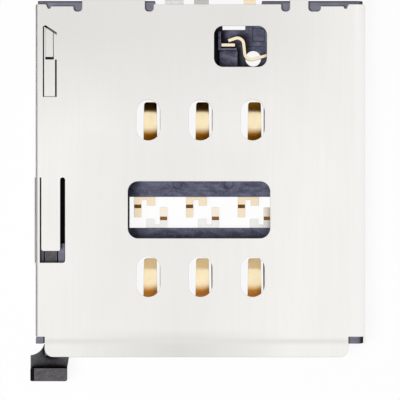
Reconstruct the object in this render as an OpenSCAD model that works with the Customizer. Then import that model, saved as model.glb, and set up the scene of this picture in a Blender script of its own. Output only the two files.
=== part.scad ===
// Tray style sim card socket for a circuit board.
// A folded steel cover closes a moulded housing with six spring contacts, a tray detect switch,
// and a push rod that turns an eject lever.
// Origin: centre of the contact pattern on the board plane. +Y runs into the socket, +Z is up.

/* [Overall] */
// Width over the cover's side walls
socket_w = 16.1; // [15.9:0.05:16.6]
// Height from the board to the top of the cover
socket_h = 1.4; // [1.36:0.01:1.6]
// Housing front face, ahead of the pattern centre
front_reach = 7.08; // [7:0.01:7.3]
// Housing back face, behind the pattern centre
back_reach = 9.62; // [9.55:0.01:10]
// Clearance between pieces that are assembled to stay
fit = 0.01; // [0.005:0.005:0.02]
// Clearance at each side of pieces that slide or turn
run = 0.04; // [0.03:0.005:0.06]

/* [Contact pattern] */
// Pitch of the contact columns
contact_pitch = 2.54; // [2.5:0.01:2.6]
// Distance between the two contact rows
row_gap = 7.62; // [7.5:0.01:7.7]

/* [Cover sheet] */
// Sheet thickness
sheet_t = 0.12; // [0.1:0.01:0.15]
// Outer radius of the tight left bend
left_bend_r = 0.16; // [0.16:0.01:0.25]
// Outer radius of the wide right bend
right_bend_r = 0.55; // [0.4:0.01:0.6]
// Lower edge of the side walls, above the board
wall_clear = 0.3; // [0.2:0.01:0.4]
// Length of each solder foot under a side wall
wall_foot_l = 1.3; // [0.8:0.05:2]
// Distance of the solder feet from the pattern centre
wall_foot_y = 4.4; // [4:0.05:5]
// Front edge of the sheet, back from the housing's front face
sheet_set = 0.34; // [0.23:0.01:0.38]
// Back edge of the sheet, ahead of the housing's back face
sheet_inset = 0.17; // [0.12:0.01:0.27]

/* [Cover lip] */
// Bend line of the lip, back from the housing's front face
lip_set = 0.16; // [0.08:0.01:0.2]
// Length of the bent lip
lip_l = 0.82; // [0.6:0.01:1]
// Upward tilt of the lip in degrees
lip_tilt = 7; // [3:0.5:12]
// Corner radius of the lip
lip_corner_r = 0.42; // [0.2:0.01:0.5]
// Lip's left end, from the cover's left side
lip_left = 0.46; // [0.4:0.01:0.6]
// Lip's right end, from the cover's right side
lip_right = 0.84; // [0.7:0.01:1]

/* [Cover windows] */
// Width of a contact slot
slot_w = 1.16; // [1:0.01:1.25]
// Length of a contact slot
slot_l = 1.97; // [1.8:0.01:2.1]
// Width of the solder tail window
tail_win_w = 6.93; // [6.7:0.01:7.2]
// Length of the solder tail window
tail_win_l = 2.78; // [2.6:0.01:2.9]
// Centre of the solder tail window, across
tail_win_x = -0.07; // [-0.1:0.01:0.1]
// Centre of the solder tail window, along
tail_win_y = -0.56; // [-0.65:0.01:-0.5]
// Corner radius of the solder tail window
tail_win_r = 0.5; // [0.2:0.01:0.6]
// Width of the switch window
switch_win_w = 2.57; // [2.4:0.01:2.7]
// Length of the switch window
switch_win_l = 1.99; // [1.9:0.01:2.1]
// Corner radius of the switch window
switch_win_r = 0.43; // [0.2:0.01:0.5]
// Centre of the switch, across
switch_x = 1.95; // [1.9:0.01:2.05]
// Centre of the switch, ahead of the housing's back face
switch_back = 2.22; // [2.17:0.01:2.27]

/* [Cover fingers] */
// Width of the front finger over the push rod
finger_w = 0.91; // [0.8:0.01:0.95]
// Gap on the outer side of the front finger
finger_gap_out = 0.08; // [0.06:0.01:0.1]
// Gap on the inner side of the front finger
finger_gap_in = 0.25; // [0.2:0.01:0.28]
// Root of the front finger, behind the pattern centre
finger_root = 1.02; // [0.9:0.01:1.2]
// Length of the front finger
finger_l = 3.58; // [3.2:0.01:3.8]
// Corner radius of the front finger's end
finger_tip_r = 0.1; // [0.05:0.01:0.15]
// Bent end of the front finger
finger_tip_l = 0.78; // [0.5:0.01:1]
// Downward bend of the finger end in degrees
finger_dip = 5; // [2:0.5:8]
// Opening beyond the finger's end
finger_open = 0.58; // [0.4:0.01:0.7]
// Step of the side wall beside the front finger
wall_jog = 0.05; // [0.03:0.01:0.08]
// Slit between the side wall and the narrow strip beside the front finger
wall_slit = 0.035; // [0.03:0.005:0.05]
// Lower end of the back finger, ahead of the housing's back face
latch_back = 4.68; // [4.52:0.01:4.82]
// Length of the back finger's stem
latch_stem_l = 1.82; // [1.6:0.01:2]
// Width of the back finger's stem
latch_stem_w = 0.53; // [0.45:0.01:0.56]
// Length of the back finger's head on its outer side
latch_head_l = 1.6; // [1.4:0.01:1.7]
// Drop of the slanted head edge across the window
latch_slant = 0.4; // [0.3:0.01:0.5]
// Width of the back finger's window
latch_win_w = 0.68; // [0.66:0.01:0.72]
// Offset of the back finger's window from the push rod, outwards
latch_shift = 0.045; // [0.02:0.005:0.05]
// Slit around the back finger
latch_slit = 0.065; // [0.04:0.005:0.07]
// Slanted gap at the back finger's head
latch_head_gap = 0.12; // [0.08:0.01:0.14]
// Sheared gap at the stem's end
latch_shear = 0.025; // [0.02:0.005:0.04]
// Downward tilt of the stem in degrees
latch_tilt = 2; // [1:0.5:3]
// Width of the pressed field in the head
press_w = 0.42; // [0.3:0.01:0.44]
// Depth of the pressed field
press_d = 0.04; // [0.02:0.01:0.06]
// Slope at each side of the pressed field, across
press_slope = 0.045; // [0.02:0.005:0.06]
// Rim of the pressed field's underside
press_rim = 0.03; // [0.02:0.01:0.04]
// Slot at the pressed field's lower edge
press_slot = 0.13; // [0.08:0.01:0.16]

/* [Cover back tabs] */
// Centre of the wide back tab, across
tab_a_x = -4.23; // [-4.4:0.01:-4.1]
// Width of the wide back tab
tab_a_w = 3.06; // [2.8:0.01:3.2]
// Centre of the narrow back tab, across
tab_b_x = 4.81; // [4.7:0.01:4.9]
// Width of the narrow back tab
tab_b_w = 0.9; // [0.8:0.01:1]
// Width of the relief beside a tab
relief_w = 0.42; // [0.3:0.01:0.5]
// Width of the wide relief at the narrow tab's outer side
relief_wide = 0.6; // [0.5:0.01:0.7]
// Depth of the relief from the sheet's back edge
relief_d = 0.35; // [0.25:0.01:0.4]
// Corner radius of the reliefs
relief_r = 0.17; // [0.1:0.01:0.2]
// Left corner nick, from the cover's left side
nick_left = 0.68; // [0.6:0.01:0.75]
// Right corner nick, from the cover's right side
nick_right = 0.98; // [0.9:0.01:1.05]
// Width of a corner nick
nick_w = 0.3; // [0.2:0.01:0.32]
// Width of a corner nick's flat bottom
nick_flat = 0.1; // [0.05:0.01:0.12]
// Depth of a corner nick
nick_d = 0.21; // [0.1:0.01:0.25]
// Lower edge of the back tabs, above the board
tab_clear = 0.45; // [0.35:0.01:0.6]
// Outer bend radius of the back tabs
tab_bend_r = 0.2; // [0.18:0.01:0.25]
// Cut back of the edge between a corner nick and its relief
edge_step_d = 0.1; // [0.05:0.01:0.15]

/* [Housing] */
// Floor thickness
floor_t = 0.35; // [0.32:0.01:0.4]
// Outer wall beside the push rod
rod_wall_t = 0.28; // [0.25:0.01:0.3]
// Inner guide beside the push rod
guide_t = 0.33; // [0.3:0.01:0.36]
// Top of the guide, above the board
guide_top = 1.06; // [1.05:0.01:1.12]
// Top of the guide's low stretch beside the front finger, above the board
guide_low = 0.6; // [0.55:0.01:0.65]
// Front end of that low stretch, ahead of the pattern centre
guide_low_y = 2.2; // [2.1:0.01:2.3]
// Back end of the guide, ahead of the housing's back face
guide_back = 3.32; // [3.22:0.01:3.62]
// Width of the rail on the side away from the push rod
rail_t = 0.72; // [0.6:0.01:0.8]
// Thickness of the back wall
back_wall_t = 0.56; // [0.5:0.01:0.6]
// Set back of the middle of the back wall
back_set = 0.2; // [0.15:0.01:0.24]
// Left end of the set back stretch
back_set_x0 = -2.2; // [-2.3:0.01:-2.1]
// Right end of the set back stretch
back_set_x1 = 3; // [2.9:0.01:3.1]
// Front bar of the floor
front_bar = 0.63; // [0.55:0.01:0.7]
// Lead in chamfer at the tray mouth
lead_in = 0.12; // [0.08:0.01:0.15]
// Width of the through opening under a contact
opening_w = 1.24; // [1.2:0.01:1.25]
// Offset of that opening from the column
opening_x = -0.06; // [-0.08:0.01:-0.05]
// Reach of a back row opening past the apex
opening_past = 1.27; // [1.2:0.01:1.3]
// Plastic ahead of the front row's root plates
bar_skin = 0.2; // [0.15:0.01:0.25]
// Upper edge of the tail slot, along
tail_slot_top = 0.07; // [0.02:0.01:0.1]
// Lower edge of the tail slot, along
tail_slot_bottom = -1.44; // [-1.5:0.01:-1.4]
// Half width of the tail slot
tail_slot_half = 3.47; // [3.46:0.01:3.5]
// Width of the bar behind the tail slot
upper_bar = 0.84; // [0.8:0.01:0.95]
// Width of the bar ahead of the tail slot
lower_bar = 0.86; // [0.7:0.01:0.95]
// Length of a snap window in a side wall
snap_l = 1; // [0.8:0.05:1.2]
// Height of a snap window
snap_h = 0.36; // [0.3:0.01:0.4]
// Centre height of the snap windows
snap_z = 0.72; // [0.7:0.01:0.75]
// Distance of the snap windows from the pattern centre
snap_y = 5.75; // [5.7:0.01:6]
// Distance the housing's nubs stand out into the snap windows
snap_d = 0.09; // [0.05:0.01:0.1]
// Distance the front ear stands out ahead of the left wall's end
ear_d = 0.1; // [0.05:0.01:0.12]
// Radius of the round marks on the bar
mark_r = 0.25; // [0.2:0.01:0.3]
// Depth of the shallow marks in the moulding
mark_d = 0.035; // [0.01:0.005:0.04]
// Place of the left mark from the tail window's centre
mark_left = -1.04; // [-1.1:0.01:-1]
// Place of the right mark from the tail window's centre
mark_right = 1.46; // [1.4:0.01:1.5]

/* [Contacts] */
// Strip thickness
strip_t = 0.12; // [0.1:0.01:0.14]
// Strip width at the tip
strip_tip_w = 0.62; // [0.55:0.01:0.66]
// Strip width at the root
strip_root_w = 0.74; // [0.7:0.01:0.78]
// Root plate beyond the strip's side
root_side = 0.05; // [0.03:0.01:0.08]
// Offset of the strip from the column
strip_x = 0.1; // [0.06:0.01:0.12]
// Underside of the moulded-in strip, above the board
leg_z = 0.14; // [0.1:0.01:0.16]
// Gap between the apex and the cover
apex_gap = 0.03; // [0.02:0.005:0.06]
// Flat start of a back row's spring arm
back_arm_flat = 0.42; // [0.3:0.01:0.5]
// Flat start of a front row's spring arm
front_arm_flat = 0.16; // [0.1:0.01:0.25]
// Bend radius at the root
arm_root_r = 0.5; // [0.4:0.05:0.6]
// Bend radius at the apex
arm_apex_r = 0.7; // [0.6:0.05:0.8]
// Downward angle of the tip in degrees
tip_dip = 40; // [30:1:45]
// Straight length of the tip
tip_l = 0.57; // [0.4:0.01:0.6]
// Corner radius of the tip
tip_r = 0.14; // [0.08:0.01:0.2]
// Width of the solder pad in the tail slot
pad_w = 1.03; // [0.98:0.01:1.06]
// Reach of the pad into the tail slot
pad_reach = 0.15; // [0.1:0.01:0.2]
// Width of the test stub
stub_w = 0.4; // [0.35:0.01:0.44]
// Reach of the test stub
stub_reach = 0.43; // [0.35:0.01:0.5]
// Width of the solder leg
leg_w = 0.36; // [0.3:0.01:0.4]
// Start of the step down to the board
step_at = 0.37; // [0.3:0.01:0.42]
// Length of the step
step_run = 0.18; // [0.15:0.01:0.22]
// Reach of the solder leg
leg_reach = 1; // [0.9:0.01:1.05]
// Centre of the back row's pad, from the column
back_pad_x = -0.195; // [-0.21:0.005:-0.18]
// Centre of the front row's pad, from the column
front_pad_x = 0.4; // [0.385:0.005:0.41]

/* [Detect switch] */
// Blade thickness
blade_t = 0.15; // [0.12:0.01:0.16]
// Lower edge of the blades above the floor
blade_clear = 0.07; // [0.05:0.01:0.1]
// Height of the blades
blade_h = 0.52; // [0.45:0.01:0.55]
// Free end of the spring blade from the switch centre, across
blade_tip_x = -0.59; // [-0.62:0.01:-0.56]
// Free end of the spring blade from the switch centre, along
blade_tip_y = 0.29; // [0.28:0.01:0.33]
// First heading of the spring blade in degrees
blade_heading = 19; // [15:0.5:22]
// Heading of the spring blade between its bends in degrees
blade_mid_heading = -84; // [-88:1:-80]
// Heading of the spring blade at its root in degrees
blade_root_heading = 16; // [12:1:20]
// Straight end of the spring blade
blade_end_l = 0.36; // [0.34:0.01:0.38]
// Radius of the first bend
blade_bend_a = 0.31; // [0.29:0.01:0.33]
// Straight run between the bends
blade_mid_l = 0.48; // [0.44:0.01:0.5]
// Radius of the second bend
blade_bend_b = 0.33; // [0.3:0.01:0.36]
// Straight run to the root
blade_root_l = 1.25; // [1.2:0.01:1.35]
// Length of the fixed blade
fixed_l = 0.66; // [0.6:0.01:0.7]
// Left end of the fixed blade, from the switch centre
fixed_x = -0.925; // [-0.95:0.005:-0.9]
// Centre of the fixed blade, from the switch centre
fixed_y = 0.085; // [0.05:0.005:0.09]
// Centre of the spring blade's solder tail
spring_tail_x = 2.41; // [2.35:0.01:2.45]
// Width of the spring blade's solder tail
spring_tail_w = 0.6; // [0.5:0.01:0.65]
// Centre of the fixed blade's solder tail
fixed_tail_x = 0.05; // [0:0.01:0.08]
// Width of the fixed blade's solder tail
fixed_tail_w = 0.73; // [0.65:0.01:0.75]
// Centre of the ground foot
ground_x = -1.28; // [-1.35:0.01:-1.25]
// Width of the ground foot
ground_w = 0.92; // [0.85:0.01:0.95]
// Length of the spring blade's root tab
root_tab_l = 0.45; // [0.4:0.01:0.5]
// Reach of the root tab's post ahead of the blade
post_front = 0.32; // [0.28:0.01:0.36]
// Reach of the root tab's post behind the blade
post_back = 0.63; // [0.58:0.01:0.68]
// Start of the step in the back solder tails
rear_step_at = 0.1; // [0.06:0.01:0.12]
// Depth of the back legs' inner ends in the floor
rear_leg_in = 0.6; // [0.5:0.01:0.65]
// Reach of the back solder tails
rear_reach = 0.43; // [0.38:0.01:0.5]
// Left end of the core slot, from the switch centre
core_slot_x = -0.865; // [-0.88:0.005:-0.85]
// Width of the core slot
core_slot_w = 1.11; // [1.05:0.01:1.15]
// Front edge of the core slot, from the switch centre
core_slot_y = 0.845; // [0.82:0.005:0.86]
// Length of the core slot
core_slot_l = 0.35; // [0.3:0.01:0.4]
// Centre of the core hole, from the switch centre, across
core_hole_x = 0.635; // [0.61:0.005:0.66]
// Centre of the core hole, from the switch centre, along
core_hole_y = -0.565; // [-0.6:0.005:-0.55]
// Diameter of the core hole under the spring blade
core_hole_d = 0.76; // [0.7:0.01:0.8]

/* [Switch forms] */
// Left side of the ridge, from the switch centre
ridge_x = -1.085; // [-1.1:0.005:-1.07]
// Width of the ridge's long leg
ridge_w = 0.14; // [0.1:0.005:0.15]
// Back end of the ridge, from the switch centre
ridge_top = 0.75; // [0.7:0.01:0.78]
// Front side of the ridge, from the switch centre
ridge_low = -0.165; // [-0.18:0.005:-0.15]
// Width of the ridge's short leg
ridge_t = 0.11; // [0.08:0.01:0.12]
// Right end of the ridge, from the switch centre
ridge_x1 = -0.17; // [-0.18:0.005:-0.16]
// Front end of the block and the sill, from the switch centre
block_low = -1.1; // [-1.15:0.01:-1.05]
// Distance the block reaches past the ridge
block_out = 0.035; // [0.02:0.005:0.04]
// Drop from the ridge to the block
block_drop = 0.14; // [0.1:0.01:0.2]
// Left side of the sill, from the switch centre
sill_x = 0.34; // [0.33:0.005:0.36]
// Height of the sill
sill_h = 0.05; // [0.03:0.01:0.06]
// Left side of the bare recess, from the switch centre
plate_x = 0.585; // [0.56:0.005:0.6]
// Width of the bare recess
plate_w = 0.61; // [0.55:0.01:0.65]
// Front side of the bare recess, from the switch centre
plate_y = 0.265; // [0.25:0.005:0.28]
// Length of the bare recess
plate_l = 0.665; // [0.6:0.005:0.7]

/* [Ejector] */
// Width of the push rod
rod_w = 0.62; // [0.58:0.01:0.64]
// Height of the push rod
rod_h = 0.62; // [0.55:0.01:0.64]
// Chamfer of the push rod's end under the lever's short arm
rod_chamfer = 0.3; // [0.28:0.01:0.34]
// Front end of the stop lug, behind the pattern centre
lug_y = 2.4; // [2:0.05:2.8]
// Length of the stop lug
lug_l = 0.8; // [0.6:0.05:1]
// Distance the stop lug stands out
lug_d = 0.2; // [0.15:0.01:0.22]
// Front face of the paddle, ahead of the housing's front face
paddle_reach = 1.84; // [1.77:0.01:2.02]
// Thickness of the paddle's upright plate
paddle_plate_t = 0.64; // [0.5:0.01:0.7]
// Left end of the paddle, from the rod's outer side
paddle_out = 0.7; // [0.6:0.01:0.72]
// Right end of the paddle, from the rod's inner side
paddle_in = 0.56; // [0.5:0.01:0.65]
// Radius of the paddle's hollow flank
flank_r = 0.78; // [0.7:0.01:0.85]
// Paddle's shoulder, ahead of the housing's front face
shoulder_gap = 0.6; // [0.55:0.01:0.65]
// Lower edge of the paddle, above the board
paddle_clear = 0.12; // [0.08:0.01:0.2]
// Top of the paddle's plate, above the board
paddle_top = 1.16; // [1.05:0.01:1.2]
// Top of the paddle's low web, above the board
web_top = 0.74; // [0.7:0.01:0.85]
// Slant of the paddle's inner end
paddle_slant = 0.1; // [0.05:0.01:0.15]
// Corner facet of the paddle
paddle_facet = 0.2; // [0.1:0.01:0.25]
// Length of the lever's short arm, pivot to nose
lever_short = 2.4; // [2.3:0.01:2.5]
// Length of the lever's long arm, pivot to end
lever_long = 4; // [3.8:0.01:4.1]
// Full swing of the lever in degrees
lever_swing = 28; // [20:1:28]
// Pivot of the lever, ahead of the housing's back face
pivot_back = 2; // [1.96:0.01:2.04]
// Lever thickness
lever_t = 0.34; // [0.3:0.01:0.38]
// Radius of the lever's hub
hub_r = 0.78; // [0.72:0.01:0.85]
// Width of the lever's arms at the hub
arm_root_w = 1.2; // [1:0.01:1.3]
// Radius of the short arm's nose
nose_r = 0.27; // [0.22:0.01:0.28]
// Radius of the long arm's end
end_r = 0.38; // [0.3:0.01:0.4]
// Radius of the pivot pin
pin_r = 0.4; // [0.35:0.01:0.45]
// Radius of the pivot pin's head
pin_head_r = 0.66; // [0.6:0.01:0.7]
// Thickness of the pivot pin's head
pin_head_t = 0.14; // [0.1:0.01:0.16]

/* [Hidden] */

$fn = 48;
// Overshoot of cutting shapes
cut = 1;
half_w = socket_w / 2;
top_z = socket_h - sheet_t;
row_y = row_gap / 2;

// Side walls of the housing and the push rod's channel
block_half = half_w - sheet_t - fit;
channel_x0 = -block_half + rod_wall_t;
rod_x0 = channel_x0 + run;
rod_x1 = rod_x0 + rod_w;
rod_mid = rod_x0 + rod_w / 2;
channel_x1 = rod_x1 + run;
tray_x0 = channel_x1 + guide_t;
tray_x1 = block_half - rail_t;
back_in = back_reach - back_wall_t;
back_mid = back_reach - back_set;
guide_end = back_reach - guide_back;

// Edges of the cover's sheet
sheet_front = front_reach - sheet_set;
sheet_back = back_reach - sheet_inset;
lip_crease = front_reach - lip_set;

// Contact levels and roots
apex_z = top_z - apex_gap;
back_root_y = tail_slot_top + upper_bar;
front_root_y = -front_reach + front_bar;
// Overlap of arms and legs with their root plates
root_lap = 0.06;

// Ejector
rod_z = floor_t + run;
lever_z = floor_t + run;
swing_half = lever_swing / 2;
travel = 2 * lever_short * sin(swing_half);
pivot_y = back_reach - pivot_back;
pivot_x = rod_mid + lever_short * (1 + cos(swing_half)) / 2;
rod_end = pivot_y + lever_short * sin(swing_half) - nose_r - run;
paddle_x0 = rod_x0 - paddle_out;
paddle_x1 = rod_x1 + paddle_in;
paddle_front = front_reach + paddle_reach;
paddle_back = -paddle_front + paddle_plate_t;
shoulder_y = -front_reach - shoulder_gap;

// Front finger and its opening
notch_x0 = rod_mid - finger_w / 2 - finger_gap_out;
notch_x1 = rod_mid + finger_w / 2 + finger_gap_in;
notch_y0 = finger_root - finger_l - finger_open;

// Back finger and its window
latch_x0 = rod_mid - latch_win_w / 2 - latch_shift;
latch_x1 = latch_x0 + latch_win_w;
latch_y = back_reach - latch_back;
latch_head_y = latch_y + latch_stem_l;
latch_top = latch_head_y + latch_head_l;

// Switch blades
switch_y = back_reach - switch_back;
blade_z = floor_t + blade_clear;
blade_steps = [
    [blade_end_l, blade_bend_a, blade_mid_heading - blade_heading],
    [blade_mid_l, blade_bend_b, blade_root_heading - blade_mid_heading],
    [blade_root_l, 0, 0],
];
blade_root = ribbon_end(blade_steps, [switch_x + blade_tip_x, switch_y + blade_tip_y], blade_heading);

steel = [0.87, 0.86, 0.82];
resin = [0.25, 0.25, 0.3];
gold = [0.88, 0.72, 0.44];
tin = [0.74, 0.73, 0.71];

// Slanted edge of the back finger's head at a place across
function head_edge(x) = latch_top - latch_slant * (x - latch_x0 - latch_slit) / (latch_win_w - latch_slit);

// End point and heading of a ribbon that starts at a point with a heading
function ribbon_end(steps, p, heading, i = 0) =
    i == len(steps) ? p : ribbon_end(steps, step_end(steps[i], p, heading), heading + steps[i][2], i + 1);

// End point of one straight run and the bend after it
function step_end(step, p, heading) =
    p + turned([step[0] + step[1] * sin(abs(step[2])),
        sign(step[2]) * step[1] * (1 - cos(step[2]))], heading);

// Slope of an arm that rises over a reach between two bends of a joint radius
function arm_slope(reach, rise, bends) =
    asin(bends / norm([reach, rise - bends])) + atan2(rise - bends, reach);

// A vector turned by an angle
function turned(v, a) = [v.x * cos(a) - v.y * sin(a), v.x * sin(a) + v.y * cos(a)];

// Strip of even thickness along +X: each step is a straight run, a bend radius and a bend angle
module ribbon(steps, t, w, i = 0) {
    run_l = steps[i][0];
    r = steps[i][1];
    a = steps[i][2];
    translate([0, -t / 2, 0]) cube([run_l, t, w]);
    translate([run_l, 0, 0]) {
        if (a != 0) bend(r, a, t, w);
        if (i + 1 < len(steps))
            translate([r * sin(abs(a)), sign(a) * r * (1 - cos(a)), 0])
                rotate(a) ribbon(steps, t, w, i + 1);
    }
}

// Round bend of a strip that heads along +X
module bend(r, a, t, w) {
    translate([0, sign(a) * r, 0])
        rotate(a > 0 ? -90 : 90 + a)
            rotate_extrude(angle = abs(a)) translate([r - t / 2, 0]) square([t, w]);
}

// Turns a shape drawn along +X with its width in Z, so it runs along +Y with its width in X
module along_y() {
    rotate(a = 120, v = [1, 1, 1]) children();
}

// Plan outline extruded through the sheet and beyond
module through(z0, z1) {
    translate([0, 0, z0]) linear_extrude(z1 - z0) children();
}

// Rectangle with round corners, centred
module round_rect(w, l, r) {
    square([w - 2 * r, l], center = true);
    square([w, l - 2 * r], center = true);
    for (sx = [-1, 1], sy = [-1, 1])
        translate([sx * (w / 2 - r), sy * (l / 2 - r)]) circle(r);
}

// Box from its low corner to its high corner
module span(low, high) {
    translate(low) cube(high - low);
}

// Section across the socket inside the cover's outer skin, from a height up
module cover_section(inset, z0) {
    rl = max(left_bend_r - inset, fit);
    rr = right_bend_r - inset;
    h = socket_h - inset - z0;
    w = socket_w - 2 * inset;
    translate([-w / 2, z0]) {
        square([w, h - rr]);
        square([w - rr, h - rl]);
        translate([rl, 0]) square([w - rl - rr, h]);
        translate([rl, h - rl]) circle(rl);
        translate([w - rr, h - rr]) circle(rr);
    }
}

// Section extruded along the socket between two places
module along_socket(y0, y1) {
    translate([0, y1, 0]) rotate([90, 0, 0]) linear_extrude(y1 - y0) children();
}

// Folded channel of the cover before its cuts
module cover_channel(y0, y1) {
    along_socket(y0, y1) difference() {
        cover_section(0, wall_clear);
        cover_section(sheet_t, wall_clear - cut);
    }
}

// Six contact slots, the tail window and the switch window
module cover_windows() {
    through(top_z - cut, socket_h + cut) {
        for (column = [-1, 0, 1], row = [-1, 1])
            translate([column * contact_pitch, row * row_y]) round_rect(slot_w, slot_l, slot_w / 2 - fit);
        translate([tail_win_x, tail_win_y]) round_rect(tail_win_w, tail_win_l, tail_win_r);
        translate([switch_x, switch_y]) round_rect(switch_win_w, switch_win_l, switch_win_r);
    }
}

// Opening around the front finger
module finger_opening() {
    round_r = finger_gap_in / 2;
    through(top_z - sheet_t, socket_h + cut) {
        translate([notch_x0, notch_y0]) square([notch_x1 - notch_x0 - finger_gap_in, finger_root - notch_y0]);
        translate([notch_x0, notch_y0]) square([notch_x1 - notch_x0 - round_r, round_r]);
        translate([notch_x1 - finger_gap_in - fit, notch_y0 + round_r])
            square([finger_gap_in + fit, finger_root - notch_y0 - finger_gap_in]);
        for (y = [notch_y0 + round_r, finger_root - round_r])
            translate([notch_x1 - round_r, y]) circle(round_r);
    }
}

// Front finger: a flat spring with a bent end
module front_finger() {
    flat_l = finger_l - finger_tip_l;
    translate([rod_mid, finger_root, top_z]) {
        translate([-finger_w / 2, -flat_l, 0]) cube([finger_w, flat_l + sheet_t, sheet_t]);
        translate([0, -flat_l, sheet_t]) rotate([finger_dip, 0, 0]) translate([0, 0, -sheet_t])
            linear_extrude(sheet_t) {
                translate([-finger_w / 2, finger_tip_r - finger_tip_l])
                    square([finger_w, finger_tip_l - finger_tip_r]);
                translate([finger_tip_r - finger_w / 2, -finger_tip_l])
                    square([finger_w - 2 * finger_tip_r, finger_tip_l]);
                for (side = [-1, 1])
                    translate([side * (finger_w / 2 - finger_tip_r), finger_tip_r - finger_tip_l])
                        circle(finger_tip_r);
            }
    }
}

// Slits that free the back finger on three sides
module latch_slits() {
    through(top_z - sheet_t, socket_h + cut) {
        corner_x = latch_x0 + 2 * latch_slit;
        polygon([
            [latch_x0, latch_y],
            [latch_x0 + latch_slit, latch_y],
            [latch_x0 + latch_slit, latch_top],
            [latch_x1, head_edge(latch_x1)],
            [latch_x1, head_edge(latch_x1) + latch_head_gap],
            [corner_x, head_edge(corner_x) + latch_head_gap],
            [latch_x0, latch_top],
        ]);
        translate([latch_x0, latch_y]) square([latch_win_w, latch_stem_l]);
    }
}

// Back finger's stem, tilted down to its sheared end
module latch_stem() {
    stem_l = latch_stem_l - latch_shear;
    translate([latch_x0 + latch_slit, latch_head_y, socket_h])
        rotate([latch_tilt, 0, 0]) translate([0, -stem_l, -sheet_t]) cube([latch_stem_w, stem_l, sheet_t]);
}

// Pressed field of the back finger's head, sunk from above with open ends
module press_place(z0, z1, grow) {
    field_x = latch_x0 + latch_slit + latch_stem_w / 2;
    x0 = field_x - press_w / 2 - grow;
    x1 = field_x + press_w / 2 + grow;
    y0 = latch_head_y + press_slot;
    past = latch_head_gap / 2;
    through(z0, z1) polygon([[x0, y0], [x1, y0], [x1, head_edge(x1) + past], [x0, head_edge(x0) + past]]);
}

// Section of the pressed field across, with sloped sides
module press_section() {
    field_x = latch_x0 + latch_slit + latch_stem_w / 2;
    half = press_w / 2;
    along_socket(latch_head_y, latch_top + cut) translate([field_x, socket_h - press_d]) polygon([
        [press_slope - half, 0], [half - press_slope, 0],
        [half, press_d], [half, cut], [-half, cut], [-half, press_d],
    ]);
}

module press_slot_cut() {
    field_x = latch_x0 + latch_slit + latch_stem_w / 2;
    span([field_x - press_w / 2, latch_head_y, top_z - cut],
        [field_x + press_w / 2, latch_head_y + press_slot, socket_h + cut]);
}

// Relief from the sheet's back edge, with round corners
module relief(x, w) {
    translate([x, sheet_back - relief_d]) {
        translate([0, relief_r]) square([w, relief_d - relief_r + cut]);
        translate([relief_r, 0]) square([w - 2 * relief_r, relief_d]);
        for (corner = [relief_r, w - relief_r]) translate([corner, relief_r]) circle(relief_r);
    }
}

// Stretch of the back edge that is cut back
module edge_step(x0, x1) {
    translate([x0, sheet_back - edge_step_d]) square([x1 - x0, edge_step_d + cut]);
}

// Reliefs beside the back tabs, nicks at the corners and the set back stretch of the edge
module back_edge_cuts() {
    through(top_z - cut, socket_h + cut) {
        relief(tab_a_x - tab_a_w / 2 - relief_w, relief_w);
        relief(tab_a_x + tab_a_w / 2, relief_w);
        relief(tab_b_x - tab_b_w / 2 - relief_w, relief_w);
        relief(tab_b_x + tab_b_w / 2, relief_wide);
        for (x = [nick_left - half_w, half_w - nick_right])
            translate([x, sheet_back])
                polygon([
                    [-nick_w / 2, cut], [-nick_w / 2, 0], [-nick_flat / 2, -nick_d], [nick_flat / 2, -nick_d],
                    [nick_w / 2, 0], [nick_w / 2, cut],
                ]);
        edge_step(nick_left - half_w, tab_a_x - tab_a_w / 2 - relief_w);
        edge_step(tab_b_x + tab_b_w / 2 + relief_wide, half_w - nick_right);
    }
}

// Tab folded down over the back wall
module back_tab(x, w) {
    r = tab_bend_r - sheet_t / 2;
    root_y = sheet_back - relief_d;
    face_y = back_reach + fit + sheet_t / 2;
    along_tab = face_y - r - root_y;
    down = top_z + sheet_t / 2 - r - tab_clear;
    translate([x - w / 2, root_y, top_z + sheet_t / 2])
        along_y() ribbon([[along_tab, r, -90], [down, 0, 0]], sheet_t, w);
}

// Lip that guides the tray in
module lip() {
    w = socket_w - lip_left - lip_right;
    translate([lip_left - half_w, -lip_crease, top_z]) {
        cube([w, lip_crease - sheet_front + sheet_t, sheet_t]);
        rotate([-lip_tilt, 0, 0]) linear_extrude(sheet_t) {
            translate([0, lip_corner_r - lip_l]) square([w, lip_l - lip_corner_r]);
            translate([lip_corner_r, -lip_l]) square([w - 2 * lip_corner_r, lip_l]);
            for (x = [lip_corner_r, w - lip_corner_r])
                translate([x, lip_corner_r - lip_l]) circle(lip_corner_r);
        }
    }
}

// Snap openings in both side walls, or the housing's nubs that fill them
module snaps(grow, x0, x1) {
    for (side = [-1, 1], y = [-snap_y, snap_y])
        span([side > 0 ? x0 : -x1, y - snap_l / 2 - grow, snap_z - snap_h / 2 - grow],
            [side > 0 ? x1 : -x0, y + snap_l / 2 + grow, snap_z + snap_h / 2 + grow]);
}

// Solder feet under the side walls
module wall_feet() {
    for (side = [-1, 1], y = [-wall_foot_y, wall_foot_y])
        span([side > 0 ? half_w - sheet_t : -half_w, y - wall_foot_l / 2, 0],
            [side > 0 ? half_w : sheet_t - half_w, y + wall_foot_l / 2, wall_clear + sheet_t]);
}

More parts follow.
